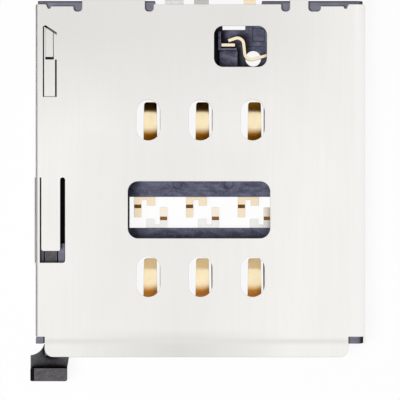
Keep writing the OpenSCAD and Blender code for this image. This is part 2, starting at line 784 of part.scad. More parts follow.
module shield_cover() {
    color(steel) {
        difference() {
            union() {
                cover_channel(-front_reach, sheet_back);
                translate([-wall_jog, 0, 0]) intersection() {
                    cover_channel(notch_y0, finger_root);
                    span([-half_w - cut, notch_y0, 0], [sheet_t - half_w, finger_root, socket_h]);
                }
                wall_feet();
                press_place(top_z - press_d, top_z + sheet_t / 2, press_rim);
            }
            span([-half_w - cut, -front_reach - cut, -cut],
                [half_w - sheet_t, -sheet_front, socket_h + cut]);
            cover_windows();
            finger_opening();
            span([sheet_t - half_w - wall_jog, notch_y0, top_z - sheet_t],
                [sheet_t - half_w - wall_jog + wall_slit, finger_root, socket_h + cut]);
            latch_slits();
            intersection() {
                press_place(socket_h - press_d, socket_h + cut, 0);
                press_section();
            }
            press_slot_cut();
            back_edge_cuts();
            snaps(run, half_w - 2 * sheet_t, half_w + cut);
        }
        front_finger();
        latch_stem();
        back_tab(tab_a_x, tab_a_w);
        back_tab(tab_b_x, tab_b_w);
        lip();
    }
}

// Plan outline of a contact arm with its apex at the origin
module arm_plan(arm_l) {
    tip_y = arm_apex_r * sin(tip_dip) + tip_l * cos(tip_dip);
    polygon([
        [-strip_root_w / 2, -arm_l - root_lap], [strip_root_w / 2, -arm_l - root_lap],
        [strip_tip_w / 2, tip_y - tip_r], [-strip_tip_w / 2, tip_y - tip_r],
    ]);
    translate([tip_r - strip_tip_w / 2, 0]) square([strip_tip_w - 2 * tip_r, tip_y]);
    for (side = [-1, 1])
        translate([side * (strip_tip_w / 2 - tip_r), tip_y - tip_r]) circle(tip_r);
}

// Spring arm that rises from its root to the apex and dips to its tip
module contact_arm(arm_l, flat) {
    rise = apex_z - strip_t - leg_z;
    bends = arm_root_r + arm_apex_r;
    slope = arm_slope(arm_l - flat, rise, bends);
    climb = (rise - bends * (1 - cos(slope))) / sin(slope);
    intersection() {
        translate([-strip_root_w / 2, -arm_l - root_lap, leg_z + strip_t / 2])
            along_y() ribbon([
                [flat + root_lap, arm_root_r, slope],
                [climb, arm_apex_r, -slope - tip_dip],
                [tip_l, 0, 0],
            ], strip_t, strip_root_w);
        through(0, socket_h) arm_plan(arm_l);
    }
}

// Leg that leaves the housing along -Y at the moulded-in level and steps down to the board
module stepped_leg(w, at, reach) {
    low = at + step_run;
    rotate([90, 0, 90]) linear_extrude(w) polygon([
        [root_lap, leg_z], [-at, leg_z], [-low, 0], [-reach, 0],
        [-reach, strip_t], [-low, strip_t], [-at, leg_z + strip_t], [root_lap, leg_z + strip_t],
    ]);
}

// Pad, test stub and solder leg that show in the tail slot, leaving along -Y
module tail() {
    span([-pad_w / 2, -pad_reach, leg_z], [pad_w / 2, 0, leg_z + strip_t]);
    span([pad_w / 2 - stub_w, -stub_reach, leg_z], [pad_w / 2, 0, leg_z + strip_t]);
    translate([-pad_w / 2, 0, 0]) stepped_leg(leg_w, step_at, leg_reach);
}

// Moulded-in root plate of a back row contact
module back_root(x) {
    span([x + back_pad_x - pad_w / 2, tail_slot_top, leg_z],
        [x + strip_x + strip_root_w / 2 + root_side, back_root_y, leg_z + strip_t]);
}

// Moulded-in root plate and side leg of a front row contact
module front_root(x) {
    leg_x1 = x + front_pad_x + pad_w / 2;
    span([x + strip_x - strip_root_w / 2 - root_side, -front_reach + bar_skin, leg_z],
        [leg_x1, front_root_y, leg_z + strip_t]);
    span([leg_x1 - leg_w, -front_reach + bar_skin, leg_z], [leg_x1, tail_slot_bottom, leg_z + strip_t]);
    span([x + front_pad_x - pad_w / 2, tail_slot_bottom - pad_reach, leg_z],
        [leg_x1, tail_slot_bottom, leg_z + strip_t]);
}

module back_contact(column) {
    x = column * contact_pitch;
    color(gold) {
        translate([x + strip_x, row_y, 0]) contact_arm(row_y - back_root_y, back_arm_flat);
        back_root(x);
        translate([x + back_pad_x, tail_slot_top, 0]) tail();
    }
}

module front_contact(column) {
    x = column * contact_pitch;
    color(gold) {
        translate([x + strip_x, -row_y, 0]) contact_arm(-row_y - front_root_y, front_arm_flat);
        front_root(x);
        translate([x + front_pad_x, tail_slot_bottom, 0]) rotate(180) tail();
    }
}

// Solder tail that leaves the set back stretch of the back wall
module rear_tail(x, w) {
    translate([x + w / 2, back_mid, 0]) rotate(180) stepped_leg(w, rear_step_at, rear_reach);
}

// Moulded-in tab of the spring blade's root
module spring_root() {
    translate([blade_root.x, blade_root.y, leg_z]) rotate(blade_root_heading)
        translate([-root_lap, -blade_t / 2, 0])
            cube([root_tab_l + root_lap, blade_t, blade_z + blade_h - leg_z]);
}

// Moulded-in legs of the switch blades
module spring_leg() {
    leg_x1 = blade_root.x + root_tab_l;
    tail_x0 = spring_tail_x - spring_tail_w / 2;
    leg_y0 = back_mid - rear_leg_in;
    leg_y1 = back_mid - rear_leg_in / 2;
    leg_top = leg_z + strip_t;
    span([blade_root.x + blade_t, blade_root.y, leg_z], [leg_x1, leg_y1, leg_top]);
    span([tail_x0, leg_y0, leg_z], [leg_x1, leg_y1, leg_top]);
    span([tail_x0, leg_y0, leg_z], [tail_x0 + spring_tail_w, back_mid, leg_top]);
}

module fixed_leg() {
    leg_x0 = fixed_tail_x - fixed_tail_w / 2;
    bar_y = switch_y + fixed_y;
    span([leg_x0, bar_y - blade_t, leg_z],
        [switch_x + fixed_x + fixed_l, bar_y + blade_t, leg_z + strip_t]);
    span([leg_x0, bar_y - blade_t, leg_z], [leg_x0 + fixed_tail_w, back_mid, leg_z + strip_t]);
}

// Fixed blade standing on its leg
module fixed_blade() {
    span([switch_x + fixed_x, switch_y + fixed_y - blade_t / 2, leg_z],
        [switch_x + fixed_x + fixed_l, switch_y + fixed_y + blade_t / 2, blade_z + blade_h]);
}

module detect_spring() {
    color(gold) {
        translate([switch_x + blade_tip_x, switch_y + blade_tip_y, blade_z])
            rotate(blade_heading) ribbon(blade_steps, blade_t, blade_h);
        spring_root();
        spring_leg();
        rear_tail(spring_tail_x, spring_tail_w);
    }
}

module detect_contact() {
    color(gold) {
        fixed_blade();
        fixed_leg();
        rear_tail(fixed_tail_x, fixed_tail_w);
    }
}

// Moulded-in plate of the ground foot
module ground_plate() {
    span([ground_x - ground_w / 2, back_mid - rear_leg_in, leg_z],
        [ground_x + ground_w / 2, back_mid, leg_z + strip_t]);
}

module rear_ground_foot() {
    color(tin) {
        ground_plate();
        rear_tail(ground_x, ground_w);
    }
}

// Cavity for the tray, the channel of the push rod and the room of the lever
module housing_cavity() {
    span([tray_x0, -front_reach - cut, floor_t], [tray_x1, back_in, socket_h]);
    span([channel_x0, -front_reach - cut, floor_t], [channel_x1, back_in, socket_h]);
    span([channel_x0, guide_end, floor_t], [tray_x1, back_in, socket_h]);
    span([channel_x0, -front_reach - cut, guide_top], [tray_x1, back_in, socket_h]);
    span([-half_w, notch_y0, guide_top], [tray_x1, finger_root, socket_h]);
    span([channel_x1 - run, -guide_low_y, guide_low], [tray_x0 + run, finger_root, socket_h]);
    lug_pocket();
}

// Pocket in the guide that limits the stop lug
module lug_pocket() {
    span([channel_x1 - run, lug_y - travel - run, floor_t],
        [rod_x1 + lug_d + run, lug_y + lug_l + run, socket_h]);
}

// Openings through the floor under the contacts and around their tails
module floor_openings() {
    through(-cut, floor_t + cut) {
        for (column = [-1, 0, 1]) {
            translate([column * contact_pitch + opening_x - opening_w / 2, back_root_y])
                square([opening_w, row_y + opening_past - back_root_y]);
            translate([column * contact_pitch + opening_x - opening_w / 2, front_root_y])
                square([opening_w, tail_slot_bottom - lower_bar - front_root_y]);
        }
        translate([-tail_slot_half, tail_slot_bottom])
            square([2 * tail_slot_half, tail_slot_top - tail_slot_bottom]);
    }
}

// Chamfer along the floor's front edge at the tray mouth
module mouth_chamfer() {
    translate([tray_x0, -front_reach, floor_t]) rotate([90, 0, 90])
        linear_extrude(tray_x1 - tray_x0)
            polygon([[-cut, cut], [-cut, -lead_in - cut], [0, -lead_in], [lead_in, 0], [lead_in, cut]]);
}

// Chamfer of the back wall's upper edge, inside the bends of the back tabs
module back_chamfer() {
    c = tab_bend_r - sheet_t;
    translate([-half_w, back_reach, top_z - fit]) rotate([90, 0, 90])
        linear_extrude(socket_w) polygon([[-c - cut, cut], [cut, -c - cut], [cut, cut]]);
}

// Shallow round marks on the bar behind the tail slot
module bar_marks() {
    for (x = [mark_left, mark_right])
        translate([tail_win_x + x, tail_win_y + tail_win_l / 2 - mark_r / 2, floor_t - mark_d])
            cylinder(r1 = mark_r - mark_d, r2 = mark_r + mark_d, h = 2 * mark_d);
}

// Raised floor, ridges and block of the switch
module switch_forms() {
    ridge_z = blade_z + blade_h - sill_h;
    block_z = ridge_z - block_drop;
    translate([switch_x, switch_y, 0]) {
        span([ridge_x, ridge_low, floor_t - sill_h], [ridge_x + ridge_w, ridge_top, ridge_z]);
        span([ridge_x, ridge_low, floor_t - sill_h], [ridge_x1, ridge_low + ridge_t, ridge_z]);
        span([ridge_x + ridge_w / 2, block_low, floor_t - sill_h],
            [ridge_x1 + block_out, ridge_low, block_z]);
        span([sill_x, block_low, floor_t - sill_h], [switch_win_w / 2 + sill_h, 0, floor_t + sill_h]);
    }
}

// Post that holds the root of the spring blade
module spring_post() {
    span([blade_root.x, blade_root.y - post_front, floor_t - fit],
        [blade_root.x + root_tab_l + blade_t, blade_root.y + post_back, blade_z + blade_h + fit]);
}

// Ear at the left front corner, ahead of the cover's wall
module front_ear() {
    span([-block_half - ear_d, -front_reach, wall_clear], [-block_half + ear_d, -sheet_front - run, top_z - fit]);
}

// Slot, core hole and bare recess in the floor of the switch
module switch_cuts() {
    translate([switch_x, switch_y, 0]) {
        span([core_slot_x, core_slot_y, -cut],
            [core_slot_x + core_slot_w, core_slot_y + core_slot_l, floor_t + cut]);
        translate([core_hole_x, core_hole_y, -cut]) cylinder(d = core_hole_d, h = floor_t + 2 * cut);
        span([plate_x, plate_y, floor_t - mark_d], [plate_x + plate_w, plate_y + plate_l, floor_t + cut]);
    }
}

// Seats of every moulded-in plate
module moulded_seats() {
    for (column = [-1, 0, 1]) {
        back_root(column * contact_pitch);
        front_root(column * contact_pitch);
    }
    spring_root();
    spring_leg();
    fixed_leg();
    fixed_blade();
    ground_plate();
}

module housing() {
    color(resin) difference() {
        union() {
            difference() {
                along_socket(-front_reach, back_reach) cover_section(sheet_t + fit, 0);
                housing_cavity();
            }
            switch_forms();
            spring_post();
            snaps(0, block_half - snap_d, block_half + snap_d);
            front_ear();
        }
        span([back_set_x0, back_mid, -cut], [back_set_x1, back_reach + cut, socket_h + cut]);
        floor_openings();
        mouth_chamfer();
        back_chamfer();
        bar_marks();
        switch_cuts();
        moulded_seats();
        translate([pivot_x, pivot_y, -cut]) cylinder(r = pin_r + fit, h = floor_t + 2 * cut);
    }
}

// Plan of the paddle: a hollow flank on the outer side and a slanted inner end
module paddle_plan() {
    difference() {
        polygon([
            [rod_x1, -front_reach - run],
            [paddle_x0, -front_reach - run],
            [paddle_x0, -paddle_front],
            [paddle_x1 - paddle_slant, -paddle_front],
            [paddle_x1 - paddle_slant, paddle_back],
            [paddle_x1, shoulder_y],
            [rod_x1, shoulder_y],
        ]);
        translate([rod_x0 - flank_r, shoulder_y + flank_r]) circle(flank_r);
    }
}

module eject_slider() {
    color(resin) {
        through(rod_z, rod_z + rod_h) polygon([
            [rod_x0, shoulder_y],
            [rod_x1, shoulder_y],
            [rod_x1, rod_end - rod_chamfer],
            [rod_x1 - rod_chamfer, rod_end],
            [rod_x0, rod_end],
        ]);
        span([rod_x1 - run, lug_y, rod_z], [rod_x1 + lug_d, lug_y + lug_l, rod_z + rod_h]);
        through(paddle_clear, web_top) paddle_plan();
        difference() {
            through(paddle_clear, paddle_top) intersection() {
                paddle_plan();
                translate([paddle_x0, -paddle_front]) square([paddle_x1 - paddle_x0, paddle_plate_t]);
            }
            along_socket(-paddle_front - cut, paddle_back + cut) polygon([
                [paddle_x0 - cut, paddle_top + cut],
                [paddle_x0 - cut, paddle_top - paddle_facet - cut],
                [paddle_x0 + paddle_facet + cut, paddle_top + cut],
            ]);
        }
    }
}

// Lever arm along +X, tapering from the hub to a round end
module lever_arm(l, r) {
    linear_extrude(lever_t) polygon([[0, -arm_root_w / 2], [l, -r], [l, r], [0, arm_root_w / 2]]);
    translate([l, 0, 0]) cylinder(r = r, h = lever_t);
}

module eject_lever() {
    color(tin) translate([pivot_x, pivot_y, lever_z]) rotate(-swing_half) difference() {
        union() {
            cylinder(r = hub_r, h = lever_t);
            rotate(180) lever_arm(lever_short, nose_r);
            lever_arm(lever_long, end_r);
        }
        translate([0, 0, -cut]) cylinder(r = pin_r + run, h = lever_t + 2 * cut);
    }
}

module lever_pin() {
    head_z = lever_z + lever_t + run;
    color(tin) translate([pivot_x, pivot_y, 0]) {
        translate([0, 0, fit]) cylinder(r = pin_r, h = head_z + pin_head_t - fit);
        translate([0, 0, head_z]) cylinder(r = pin_head_r, h = pin_head_t);
    }
}

shield_cover();
housing();
back_contact(-1);  // contact_c1
back_contact(0);  // contact_c2
back_contact(1);  // contact_c3
front_contact(-1);  // contact_c5
front_contact(0);  // contact_c6
front_contact(1);  // contact_c7
detect_spring();
detect_contact();
rear_ground_foot();
eject_slider();
eject_lever();
lever_pin();
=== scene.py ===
"""Looks of a tray style sim card socket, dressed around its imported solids."""

import math

import bmesh
import bpy
from bpy.props import FloatProperty, FloatVectorProperty, PointerProperty
from mathutils import Matrix, Vector


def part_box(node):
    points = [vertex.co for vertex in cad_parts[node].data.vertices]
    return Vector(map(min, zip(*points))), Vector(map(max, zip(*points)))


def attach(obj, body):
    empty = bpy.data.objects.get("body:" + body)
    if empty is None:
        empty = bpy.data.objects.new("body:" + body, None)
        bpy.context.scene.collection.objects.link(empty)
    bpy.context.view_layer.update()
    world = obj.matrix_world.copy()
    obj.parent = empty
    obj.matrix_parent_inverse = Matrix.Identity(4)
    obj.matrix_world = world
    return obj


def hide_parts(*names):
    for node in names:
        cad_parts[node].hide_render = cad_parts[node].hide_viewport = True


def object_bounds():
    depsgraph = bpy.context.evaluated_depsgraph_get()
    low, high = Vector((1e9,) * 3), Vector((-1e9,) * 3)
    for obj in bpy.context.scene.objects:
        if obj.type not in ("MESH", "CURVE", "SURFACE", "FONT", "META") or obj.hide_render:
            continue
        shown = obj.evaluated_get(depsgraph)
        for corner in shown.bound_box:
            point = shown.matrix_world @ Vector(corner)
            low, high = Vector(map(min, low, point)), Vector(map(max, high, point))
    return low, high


bl_info = {
    "name": "Sim Card Socket",
    "version": (1, 0, 0),
    "blender": (4, 5, 0),
    "location": "View3D > Sidebar > Socket",
    "description": "Dresses the cover, housing, contacts, switch and ejector of a sim card socket",
    "category": "Object",
}

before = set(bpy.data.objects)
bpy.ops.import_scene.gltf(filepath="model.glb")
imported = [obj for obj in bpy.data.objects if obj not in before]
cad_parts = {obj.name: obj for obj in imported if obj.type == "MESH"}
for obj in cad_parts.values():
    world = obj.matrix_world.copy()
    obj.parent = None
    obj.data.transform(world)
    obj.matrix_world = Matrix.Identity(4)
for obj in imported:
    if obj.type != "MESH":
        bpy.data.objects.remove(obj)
CAD_LOW, CAD_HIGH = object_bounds()

MM = 0.001
# Vertices closer than this are one corner of a solid
MERGE = 0.008 * MM
# Vertices that rounding leaves closer than this are one
CLOSE = 0.0005 * MM
# The part of a face that rounding turns over is let be up to this area
FOLD = 0.0002 * MM * MM
# Edges within this share of a radius from a face that folds stay sharp
FOLD_MARGIN = 0.4
# Rounding is tried again so often at most, with more of the edges left sharp
RETRIES = 4
# An edge is rounded if both its faces reach so many radii away from it
ROOM = 3
# Faces of a solid that meet at less than this are one flat face
FLAT = math.radians(0.5)
# Faces that meet at less than this are shaded as one curve
SMOOTH = math.radians(33)
# Edges at which the faces turn by less than this aren't rounded
SHARP = math.radians(50)
# A spot that sees this share of the sky is in the open
OPEN_SKY = 0.95

BACK_ROW = ("contact_c1", "contact_c2", "contact_c3")
FRONT_ROW = ("contact_c5", "contact_c6", "contact_c7")
COVER_LOW, COVER_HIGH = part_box("shield_cover")
HOUSING_LOW, HOUSING_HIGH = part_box("housing")

# Painted shade darkens the sheet towards its back along Y, and less so towards its right along X
SHADE_BACK = (3.5 * MM, 8.0 * MM)
SHADE_SIDE = (8.5 * MM, 2.0 * MM)
# Middle and reach of the sheet's band of painted shade along X
SHADE_BAND, SHADE_BAND_REACH = -1.0 * MM, 5.5 * MM
# Widths over which the painted shade at the sheet's lip and fold, and its tab and bend, fade into its face
LIP_FADE, FOLD_FADE, TAB_FADE, BEND_FADE = 0.6 * MM, 0.2 * MM, 0.03 * MM, 0.1 * MM
# Heights above which painted light makes the housing's tops paler
TOPS = (0.9 * MM, 1.1 * MM)
# Height of the guide's bottom beside the front finger, painted near black as shadow
GUIDE, GUIDE_FADE = 0.6 * MM, 0.05 * MM
# Heights between which painted shade begins on a contact's slopes, and its solder leg begins
SLOPE = (1.16 * MM, 1.02 * MM)
LEG = (0.5 * MM, 0.3 * MM)
# Heights between which painted shade begins on the switch blades
BLADE_FOOT = (0.7 * MM, 0.3 * MM)
# Places along Y between which the front row's stubs begin
STUB = (-0.9 * MM, -1.0 * MM)

KEY_SPOT, KEY_SIDE = Vector((-0.055, -0.03, 0.11)), 0.06
CARD_SPOT, CARD_HALF = Vector((-0.09, 0.03, 0.05)), 0.06
FLOOR_GAP = 0.02 * MM


class SocketFinishes(bpy.types.PropertyGroup):
    """Colours of the socket's materials"""

    sheet: FloatVectorProperty(
        name="Cover sheet", description="Colour of the rolled steel sheet",
        subtype="COLOR", size=3, min=0, max=1, default=(0.92, 0.902, 0.872))
    resin: FloatVectorProperty(
        name="Housing resin", description="Colour of the moulded housing",
        subtype="COLOR", size=3, min=0, max=1, default=(0.105, 0.11, 0.16))
    # Painted light: the paler colour of the housing's high tops
    resin_top: FloatVectorProperty(
        name="Housing tops", description="Colour of the rubbed tops of the housing",
        subtype="COLOR", size=3, min=0, max=1, default=(0.205, 0.203, 0.25))
    slider: FloatVectorProperty(
        name="Push rod resin", description="Colour of the moulded push rod",
        subtype="COLOR", size=3, min=0, max=1, default=(0.098, 0.094, 0.101))
    gold: FloatVectorProperty(
        name="Contact plating", description="Colour of the gold plated springs",
        subtype="COLOR", size=3, min=0, max=1, default=(1.0, 0.83, 0.55))
    # Painted shade on the back row's slopes
    back_slope_shade: FloatVectorProperty(
        name="Back row slopes", description="Colour of the back row's springs under the cover",
        subtype="COLOR", size=3, min=0, max=1, default=(0.56, 0.24, 0.02))
    # Painted shade on the front row's slopes
    front_slope_shade: FloatVectorProperty(
        name="Front row slopes", description="Colour of the front row's springs under the cover",
        subtype="COLOR", size=3, min=0, max=1, default=(0.95, 0.45, 0.1))
    # Painted shade on the steps of the solder legs
    step: FloatVectorProperty(
        name="Leg steps", description="Colour of the plating on the steps of the solder legs",
        subtype="COLOR", size=3, min=0, max=1, default=(0.34, 0.17, 0.05))
    # Painted light: colour of the front row's tips, which lean back
    front_lit_tip: FloatVectorProperty(
        name="Front row tips", description="Colour of the front row's bent tips",
        subtype="COLOR", size=3, min=0, max=1, default=(1.0, 0.74, 0.38))
    back_tail: FloatVectorProperty(
        name="Back row legs", description="Colour of the back row's solder legs",
        subtype="COLOR", size=3, min=0, max=1, default=(0.95, 0.8, 0.58))
    front_tail: FloatVectorProperty(
        name="Front row legs", description="Colour of the front row's solder legs",
        subtype="COLOR", size=3, min=0, max=1, default=(0.97, 0.88, 0.75))
    stub: FloatVectorProperty(
        name="Front row stubs", description="Colour of the front row's stubs in the tail slot",
        subtype="COLOR", size=3, min=0, max=1, default=(0.9, 0.89, 0.86))
    blade: FloatVectorProperty(
        name="Switch plating", description="Colour of the gold plated switch blades",
        subtype="COLOR", size=3, min=0, max=1, default=(1.0, 0.85, 0.63))
    foot: FloatVectorProperty(
        name="Ground foot", description="Colour of the bright ground foot",
        subtype="COLOR", size=3, min=0, max=1, default=(0.78, 0.77, 0.74))
    tin: FloatVectorProperty(
        name="Solder plating", description="Colour of the tinned tail, lever and pin",
        subtype="COLOR", size=3, min=0, max=1, default=(0.56, 0.55, 0.53))


class SocketEdges(bpy.types.PropertyGroup):
    """Small radii that stamping and moulding leave on the edges"""

    sheet_roll: FloatProperty(
        name="Sheet edge", description="Rolled edge of the stamped cover",
        unit="LENGTH", min=0, default=0.022 * MM, precision=6)
    resin_round: FloatProperty(
        name="Resin edge", description="Rounded edge of the moulded pieces",
        unit="LENGTH", min=0, default=0.03 * MM, precision=6)
    rod_round: FloatProperty(
        name="Push rod edge", description="Rounded edge of the push rod and its paddle",
        unit="LENGTH", min=0, default=0.055 * MM, precision=6)
    strip_round: FloatProperty(
        name="Strip edge", description="Rounded edge of the stamped springs",
        unit="LENGTH", min=0, default=0.014 * MM, precision=6)


class SocketStage(bpy.types.PropertyGroup):
    """Camera, light and floor"""

    frame_width: FloatProperty(
        name="Picture width", description="Width that the picture shows at the cover's top",
        unit="LENGTH", min=0, default=19.465 * MM, precision=6)
    distance: FloatProperty(
        name="Camera distance", description="Camera above the cover's top",
        unit="LENGTH", min=0, default=0.2)
    centre: FloatVectorProperty(
        name="Picture centre", description="Point of the cover at the picture's centre",
        subtype="XYZ", unit="LENGTH", size=2, default=(-0.02 * MM, -0.08 * MM), precision=6)
    key_level: FloatProperty(
        name="Key lamp", description="Brightness of the key lamp's face", min=0, default=13.0)
    room_level: FloatProperty(
        name="Room", description="Brightness of the plain room", min=0, default=0.2)
    floor_size: FloatProperty(
        name="Floor", description="Side of the square floor", unit="LENGTH", min=0, default=2.0)


class SocketSettings(bpy.types.PropertyGroup):
    """All settings of the socket"""

    finishes: PointerProperty(type=SocketFinishes)
    edges: PointerProperty(type=SocketEdges)
    stage: PointerProperty(type=SocketStage)


def settings():
    """The socket's settings in the open scene"""
    return bpy.context.scene.sim_socket


def shade(colour, factor):
    """A colour made darker or lighter, with its alpha"""
    return tuple(min(c * factor, 1.0) for c in colour) + (1.0,)


class Finish:
    """A material in the making: its shader and the nodes that feed it"""

    def __init__(self, name):
        self.material = bpy.data.materials.new(name)
        self.material.use_nodes = True
        self.nodes = self.material.node_tree.nodes
        self.links = self.material.node_tree.links
        self.shader = self.nodes["Principled BSDF"]
        self.place = self.nodes.new("ShaderNodeTexCoord").outputs["Object"]

    def noise(self, waves, detail):
        """Noise with so many waves in a millimetre along X, Y and Z"""
        mapping = self.nodes.new("ShaderNodeMapping")
        mapping.inputs["Scale"].default_value = [w / MM for w in waves]
        texture = self.nodes.new("ShaderNodeTexNoise")
        texture.inputs["Scale"].default_value = 1.0
        texture.inputs["Detail"].default_value = detail
        self.links.new(self.place, mapping.inputs["Vector"])
        self.links.new(mapping.outputs["Vector"], texture.inputs["Vector"])
        return texture.outputs["Fac"]

    def ranged(self, value, low, high, start=0.3, end=0.7):
        """A value between start and end turned to one between low and high"""
        node = self.nodes.new("ShaderNodeMapRange")
        for name, number in (("From Min", start), ("From Max", end), ("To Min", low), ("To Max", high)):
            node.inputs[name].default_value = number
        self.links.new(value, node.inputs["Value"])
        return node.outputs["Result"]

    def mixed(self, factor, first, second):
        """Two colours, or colour sockets, mixed by a factor"""
        node = self.nodes.new("ShaderNodeMix")
        node.data_type = "RGBA"
        self.links.new(factor, node.inputs["Factor"])
        for socket, colour in ((node.inputs[6], first), (node.inputs[7], second)):
            if isinstance(colour, tuple):
                socket.default_value = colour
            else:
                self.links.new(colour, socket)
        return node.outputs[2]

    def lean(self, axis):
        """How far a face leans towards an axis"""
        normal = self.nodes.new("ShaderNodeNewGeometry").outputs["Normal"]
        split = self.nodes.new("ShaderNodeSeparateXYZ")
        self.links.new(normal, split.inputs["Vector"])
        return split.outputs[axis]

    def steepness(self, steep, level):
        """0 on level faces and 1 on steep ones"""
        return self.ranged(self.math("ABSOLUTE", self.lean("Z")), 1.0, 0.0, steep, level)

    def math(self, operation, value, number=0.0):
        """An operation on a value, with a number where it takes one"""
        node = self.nodes.new("ShaderNodeMath")
        node.operation = operation
        node.inputs[1].default_value = number
        self.links.new(value, node.inputs[0])
        return node.outputs["Value"]

    def times(self, first, second):
        """Two values multiplied"""
        node = self.nodes.new("ShaderNodeMath")
        node.operation = "MULTIPLY"
        self.links.new(first, node.inputs[0])
        self.links.new(second, node.inputs[1])
        return node.outputs["Value"]

    def spot(self, axis):
        """Place along an axis"""
        split = self.nodes.new("ShaderNodeSeparateXYZ")
        self.links.new(self.place, split.inputs["Vector"])
        return split.outputs[axis]

    def along(self, axis, start, end):
        """0 before a place along an axis and 1 past it"""
        return self.ranged(self.spot(axis), 0.0, 1.0, start, end)

    def beside(self, axis, middle, width):
        """1 at a place along an axis, fading to 0 at a distance"""
        away = self.math("ABSOLUTE", self.math("SUBTRACT", self.spot(axis), middle))
        return self.ranged(away, 1.0, 0.0, 0.0, width)

    def corners(self, distance, full):
        """1 in a piece's own inner corners that see so little of the sky, fading to 0 in the open"""
        node = self.nodes.new("ShaderNodeAmbientOcclusion")
        node.only_local = True
        node.inputs["Distance"].default_value = distance
        return self.ranged(node.outputs["AO"], 1.0, 0.0, full, OPEN_SKY)

    def leaning(self, axis, level, width):
        """1 on faces that lean so far towards an axis, fading to 0 on the others"""
        away = self.math("ABSOLUTE", self.math("SUBTRACT", self.lean(axis), level))
        return self.ranged(away, 1.0, 0.0, width / 2, width)

    def bumped(self, height, depth):
        """Gives the surface a fine relief of so much depth"""
        node = self.nodes.new("ShaderNodeBump")
        node.inputs["Strength"].default_value = 1.0
        node.inputs["Distance"].default_value = depth
        self.links.new(height, node.inputs["Height"])
        self.links.new(node.outputs["Normal"], self.shader.inputs["Normal"])

    def feed(self, socket, value):
        """Links a value to one of the shader's sockets"""
        self.links.new(value, self.shader.inputs[socket])


def satin_sheet(name, tint, fold, tab, bend):
    """Rolled steel sheet with lines and clouds; painted shade at its back, middle, lip and fold and on its
    steep faces, left off at the tab and the right bend
    """
    finish = Finish(name)
    lines = finish.noise((7.0, 0.25, 7.0), 3.0)
    clouds = finish.noise((0.3, 0.18, 0.3), 2.0)
    # Painted shade: steep faces take half the tint
    steep_shade = finish.steepness(0.3, 0.95)
    face = finish.mixed(finish.ranged(clouds, 0.0, 1.0), shade(tint, 0.97), shade(tint, 1.02))
    face = finish.mixed(finish.ranged(lines, 0.0, 0.3), face, shade(tint, 0.95))
    # Painted shade towards the sheet's back
    back = finish.times(finish.along("Y", *SHADE_BACK), finish.along("X", *SHADE_SIDE))
    face = finish.mixed(back, face, shade(tint, 0.86))
    # Painted shade in a soft band down the middle, darker on the lip and along the fold
    middle = finish.beside("X", SHADE_BAND, SHADE_BAND_REACH)
    face = finish.mixed(finish.ranged(middle, 0.0, 0.5, 0.0, 1.0), face, shade(tint, 0.9))
    lip = finish.times(middle, finish.along("Y", fold + LIP_FADE, fold))
    face = finish.mixed(lip, face, shade(tint, 0.82))
    face = finish.mixed(finish.beside("Y", fold, FOLD_FADE), face, shade(tint, 0.87))
    dark = finish.mixed(steep_shade, face, shade(tint, 0.5))
    # Left of the tab and past the right bend the painted steep shade is left off
    dark = finish.mixed(finish.along("X", tab, tab - TAB_FADE), dark, shade(tint, 0.95))
    bent = finish.along("X", bend, bend + BEND_FADE)
    finish.feed("Base Color", finish.mixed(bent, dark, shade(tint, 1.0)))
    finish.feed("Roughness", finish.ranged(lines, 0.38, 0.44))
    finish.shader.inputs["Metallic"].default_value = 1.0
    finish.bumped(lines, 0.0008 * MM)
    return finish.material


def moulded_resin(name, tint, mottle, gloss, deep, full, top=None, lit=None, bevel=None, slit=None):
    """Moulded resin: specks, mottle, painted highlight on rounded edges, painted shade on steep faces and
    in corners; painted light on tops, painted shade on a bevel and in a slit if given
    """
    finish = Finish(name)
    dark = shade(tint, 0.06)
    specks = finish.noise((9.0, 9.0, 9.0), 3.0)
    flow = finish.noise((2.2, 5.0, 5.0), 6.0)
    light = finish.ranged(flow, 0.0, 1.0, 0.35, 0.65)
    body = finish.mixed(light, shade(tint, 1.0 - mottle), shade(tint, 1.0 + mottle))
    body = finish.mixed(finish.ranged(specks, 0.0, 0.5, 0.5, 0.75), body, shade(tint, 2.0))
    # Painted light: faces above the given heights take the paler top colour
    if top:
        pale = finish.mixed(light, shade(top, 0.88), shade(top, 1.12))
        body = finish.mixed(finish.along("Z", *lit), body, pale)
    # Painted shade: steep faces take half the tint
    body = finish.mixed(finish.steepness(0.6, 0.85), body, shade(tint, 0.5))
    # Painted highlight on the facets of the rounded edges
    body = finish.mixed(finish.leaning("Z", 0.9, 0.1), body, shade(tint, 1.8))
    # Painted shadow: the level floor at the slit's height is near black
    if slit:
        bottom = finish.times(finish.beside("Z", slit, GUIDE_FADE), finish.leaning("Z", 1.0, 0.1))
        body = finish.mixed(bottom, body, shade(tint, 0.02))
    # Painted shade: the facet that leans so far along X is dark
    if bevel:
        body = finish.mixed(finish.leaning("X", bevel, 0.12), body, dark)
    # Painted shade in the piece's own inner corners
    finish.feed("Base Color", finish.mixed(finish.corners(deep, full), body, dark))
    finish.feed("Roughness", finish.ranged(specks, 0.62, 0.44))
    finish.shader.inputs["Specular IOR Level"].default_value = gloss
    finish.bumped(specks, 0.006 * MM)
    return finish.material


